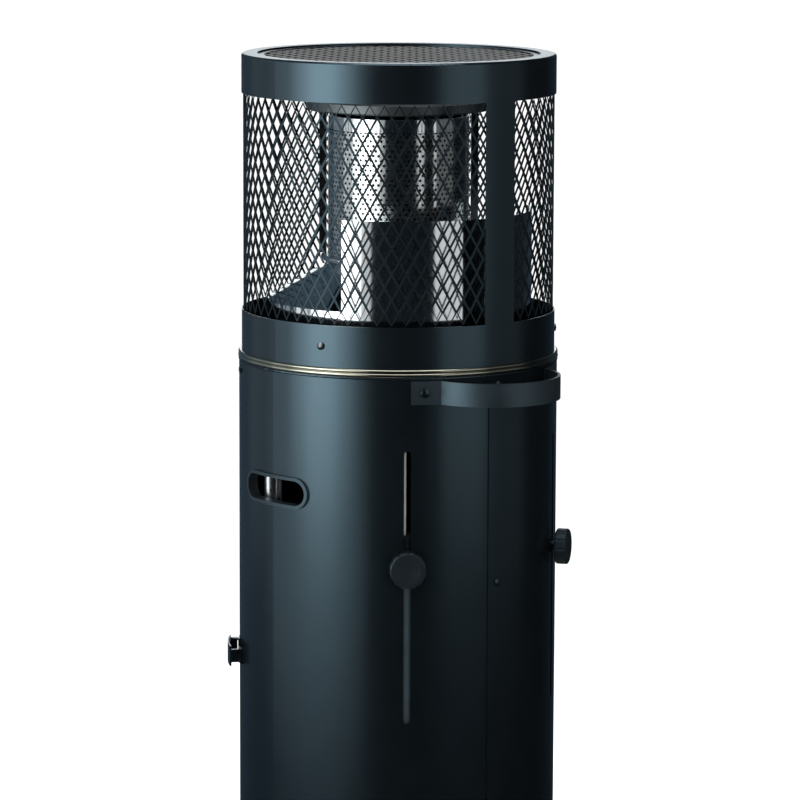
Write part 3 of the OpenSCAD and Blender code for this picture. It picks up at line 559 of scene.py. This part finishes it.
# %% World
AS_LIGHT = 0.3
AS_GROUND = 1.0
world = bpy.data.worlds.new("studio")
bpy.context.scene.world = world
world.use_nodes = True
tree = world.node_tree
path = tree.nodes.new("ShaderNodeLightPath")
seen = tree.nodes.new("ShaderNodeMath")
seen.operation = "MAXIMUM"
tree.links.new(path.outputs["Is Camera Ray"], seen.inputs[0])
tree.links.new(path.outputs["Is Glossy Ray"], seen.inputs[1])
clear = tree.nodes.new("ShaderNodeMath")
clear.operation = "MAXIMUM"
tree.links.new(seen.outputs["Value"], clear.inputs[0])
tree.links.new(path.outputs["Is Transmission Ray"], clear.inputs[1])
level = tree.nodes.new("ShaderNodeMapRange")
level.inputs["To Min"].default_value = AS_LIGHT
level.inputs["To Max"].default_value = AS_GROUND
tree.links.new(clear.outputs["Value"], level.inputs["Value"])
ground = tree.nodes["Background"]
ground.inputs["Color"].default_value = (1, 1, 1, 1)
tree.links.new(level.outputs["Result"], ground.inputs["Strength"])
print("world lights at", AS_LIGHT, "and shows at", AS_GROUND)

# %% [markdown]
# ## The dark screen
# A glossy black column shows what stands round it. In a studio black flags keep its middle dark, and here
# a round screen with a floor cloth does. Only reflections see it: the camera and the soft light don't.
# It starts as a ring of edges that is pulled out, up and closed, and it glows a little on one side.

# %% Shape of the screen
SCREEN_SIDES = 72
SCREEN_R = 2.9
SCREEN_H = 3.2
CLOTH_IN = 0.3
CLOTH_LIFT = 4 * MM
bpy.ops.object.select_all(action="DESELECT")
bpy.ops.mesh.primitive_circle_add(vertices=SCREEN_SIDES, radius=CLOTH_IN, location=(0, 0, CLOTH_LIFT))
dark = bpy.context.object
dark.name = "dark_screen"
bpy.ops.object.transform_apply(location=True)
bpy.ops.object.mode_set(mode="EDIT")
bpy.ops.mesh.select_all(action="SELECT")
bpy.ops.mesh.extrude_edges_move(TRANSFORM_OT_translate={"value": (0, 0, 0)})
bpy.ops.transform.resize(value=(SCREEN_R / CLOTH_IN, SCREEN_R / CLOTH_IN, 1))
bpy.ops.mesh.extrude_edges_move(TRANSFORM_OT_translate={"value": (0, 0, SCREEN_H)})
bpy.ops.mesh.edge_face_add()
bpy.ops.object.mode_set(mode="OBJECT")
dark.visible_camera = False
dark.visible_shadow = False
dark.visible_diffuse = False
print("screen", len(dark.data.polygons), "faces")


# %% Cloth of the screen
def heading(degrees):
    """A level direction from the column, counted to the right from the camera's."""
    turned = AZIMUTH + math.radians(degrees)
    return Vector((math.sin(turned), -math.cos(turned), 0))


DARKEST_AT = 50
cloth = bpy.data.materials.new("dark_cloth")
cloth.use_nodes = True
tree = cloth.node_tree
weave = tree.nodes["Principled BSDF"]
weave.inputs["Base Color"].default_value = (0.004, 0.005, 0.006, 1)
weave.inputs["Roughness"].default_value = 1
weave.inputs["Specular IOR Level"].default_value = 0
weave.inputs["Emission Color"].default_value = (0.62, 1.0, 1.4, 1)
where = tree.nodes.new("ShaderNodeTexCoord")
towards = tree.nodes.new("ShaderNodeVectorMath")
towards.operation = "DOT_PRODUCT"
towards.inputs[1].default_value = heading(DARKEST_AT) / SCREEN_R
fade = tree.nodes.new("ShaderNodeMapRange")
for name, value in (("From Min", 0.2), ("From Max", -1), ("To Min", 0.004), ("To Max", 0.09)):
    fade.inputs[name].default_value = value
tree.links.new(where.outputs["Object"], towards.inputs[0])
tree.links.new(towards.outputs["Value"], fade.inputs["Value"])
tree.links.new(fade.outputs["Result"], weave.inputs["Emission Strength"])
dark.data.materials.append(cloth)
print("cloth is darkest", DARKEST_AT, "degrees to the right of the camera")

# %% [markdown]
# ## Soft lights
# One broad soft light stands on the left and a narrower one on the right. Soft boxes stand one inside
# another, so that a highlight fades out from its core. A lamp that reflections don't see lights the rod
# behind the slot, one stands at the far side, and one hangs above.

# %% A soft box
SOFT_WHITE = (0.95, 0.99, 1)
WHITE = (1, 1, 1)


def softbox(name, degrees, distance, height, width, tall, watts, colour=SOFT_WHITE, mirrored=True,
            aim_height=None):
    """An area lamp that looks level at the column's axis, or at a given height on it."""
    lamp = bpy.data.lights.new(name, "AREA")
    lamp.shape = "RECTANGLE"
    lamp.size = width
    lamp.size_y = tall
    lamp.energy = watts
    lamp.color = colour
    stand = bpy.data.objects.new(name, lamp)
    bpy.context.scene.collection.objects.link(stand)
    stand.location = heading(degrees) * distance + Vector((0, 0, height))
    target = Vector((0, 0, height if aim_height is None else aim_height))
    stand.rotation_euler = (target - stand.location).to_track_quat("-Z", "Y").to_euler()
    stand.visible_camera = False
    stand.visible_glossy = mirrored
    print(name, watts, "W")


# %% Lamps
softbox("left_core", -54, 1.75, 1.4, 0.75, 2.0, 9)
softbox("left_softbox", -55, 1.8, 1.4, 1.6, 2.0, 16.5)
softbox("left_wing", -61, 1.95, 1.2, 3.1, 2.4, 14.5)
softbox("left_far", -112, 2.3, 1.3, 1.6, 2.2, 2.0)
softbox("right_softbox", 46, 1.9, 1.35, 1.1, 2.0, 4.6)
softbox("right_wing", 78, 1.9, 1.25, 1.4, 2.0, 1.2)
softbox("back_softbox", 182, 2.2, 1.3, 0.9, 2.2, 9)
softbox("rod_light", 27, 2.2, 1.0, 0.35, 1.5, 16, WHITE, mirrored=False)
softbox("top_softbox", 0, 0.35, 3.0, 2.0, 2.0, 34, WHITE, aim_height=AIM_HEIGHT)
